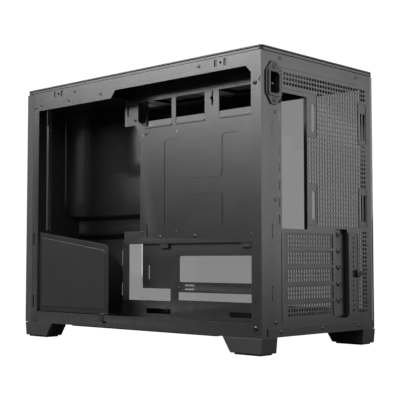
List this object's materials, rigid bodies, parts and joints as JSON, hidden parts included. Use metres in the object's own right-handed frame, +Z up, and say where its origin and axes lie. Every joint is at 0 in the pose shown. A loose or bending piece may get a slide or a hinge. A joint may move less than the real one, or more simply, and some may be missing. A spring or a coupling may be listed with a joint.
{
  "type": "desktop computer tower",
  "caption": "Open compact desktop computer tower of black sheet steel with tinted glass front and left panels, front power supply bay, perforated rear and angled feet.",
  "frame": {"origin": "on the floor under the middle of the case, at the bottom centre of its bounding box", "axes": "+Z up, +Y towards the rear panel, +X towards the open service side"},
  "size_m": [0.2284, 0.4451, 0.353],
  "materials": {
    "steel_black": "black powder coat, fine texture",
    "steel_cover": "black powder coat",
    "glass_tinted": "tempered, grey tint, polished edge",
    "trim_plastic": "moulded ABS, fine matt texture",
    "plastic_black": "moulded nylon, satin",
    "rubber_black": "matt",
    "screw_steel": "zinc-plated, bright",
    "screw_black": "black oxide, knurled",
    "standoff_brass": "turned",
    "filter_mesh": "nylon mesh in a moulded frame",
    "port_metal": "nickel-plated, stamped",
    "board_green": "solder resist"
  },
  "bodies": {
    "chassis": {"base_pan": "steel_black", "rear_panel": "steel_black", "rear_vent": "steel_black", "top_frame": "steel_black", "top_rim": "steel_black", "front_frame": "steel_black", "motherboard_tray": "steel_black", "tray_lower_plate": "steel_black", "psu_divider": "steel_black", "lower_wall": "steel_black", "bay_roof": "steel_black", "psu_frame": "steel_black", "slot_rail": "steel_black", "filter_runners": "steel_black", "slot_cover_1": "steel_cover", "slot_cover_2": "steel_cover", "slot_cover_3": "steel_cover", "slot_cover_4": "steel_cover", "slot_cover_5": "steel_cover", "inlet_housing": "plastic_black", "right_catches": "plastic_black", "left_catches": "plastic_black", "front_catches": "plastic_black", "audio_jack": "plastic_black", "power_switch": "plastic_black", "foot_front_left": "plastic_black", "foot_front_right": "plastic_black", "foot_rear_left": "plastic_black", "foot_rear_right": "plastic_black", "foot_pad_front_left": "rubber_black", "foot_pad_front_right": "rubber_black", "foot_pad_rear_left": "rubber_black", "foot_pad_rear_right": "rubber_black", "slot_screws": "screw_steel", "inlet_screws": "screw_steel", "rear_rivets": "screw_steel", "rail_screws": "screw_steel", "column_screws": "screw_steel", "tray_screws": "screw_steel", "stand_offs": "standoff_brass", "inlet_pins": "standoff_brass", "usb_a_port_1": "port_metal", "usb_a_port_2": "port_metal", "usb_c_port": "port_metal", "port_board": "board_green", "switch_board": "board_green"},
    "side_panel": {"side_glass": "glass_tinted", "side_glass_strips": "steel_black", "side_studs": "screw_steel"},
    "front_panel": {"front_trim": "trim_plastic", "front_glass": "glass_tinted", "front_studs": "screw_steel"},
    "power_button": {"power_button": "trim_plastic"},
    "top_cover": {"top_cover": "steel_cover", "top_filter": "filter_mesh"},
    "bottom_filter": {"bottom_filter": "filter_mesh"},
    "drive_bracket": {"drive_bracket": "steel_black"},
    "slot_clamp": {"slot_clamp": "steel_cover"},
    "clamp_thumb_screw": {"clamp_thumb_screw": "screw_black"}
  },
  "joints": [
    {"name": "side_panel_pull", "type": "slide", "parent": "chassis", "child": "side_panel", "axis": [-1, 0, 0], "range_m": [0, 0.03]},
    {"name": "front_panel_pull", "type": "slide", "parent": "chassis", "child": "front_panel", "axis": [0, -1, 0], "range_m": [0, 0.03]},
    {"name": "power_button_press", "type": "slide", "parent": "front_panel", "child": "power_button", "axis": [0, 1, 0], "range_m": [0, 0.0015], "stiffness_N_per_m": 800},
    {"name": "top_cover_lift", "type": "slide", "parent": "chassis", "child": "top_cover", "axis": [0, 0, 1], "range_m": [0, 0.04]},
    {"name": "bottom_filter_slide", "type": "slide", "parent": "chassis", "child": "bottom_filter", "axis": [0, -1, 0], "range_m": [0, 0.25]},
    {"name": "drive_bracket_pull", "type": "slide", "parent": "chassis", "child": "drive_bracket", "axis": [1, 0, 0], "range_m": [0, 0.05]},
    {"name": "slot_clamp_pull", "type": "slide", "parent": "chassis", "child": "slot_clamp", "axis": [0, 1, 0], "range_m": [0, 0.015]},
    {"name": "thumb_screw_turn", "type": "hinge", "parent": "slot_clamp", "child": "clamp_thumb_screw", "pos_m": [-0.0722, 0.2204, 0.091], "axis": [0, 1, 0], "continuous": true}
  ]
}
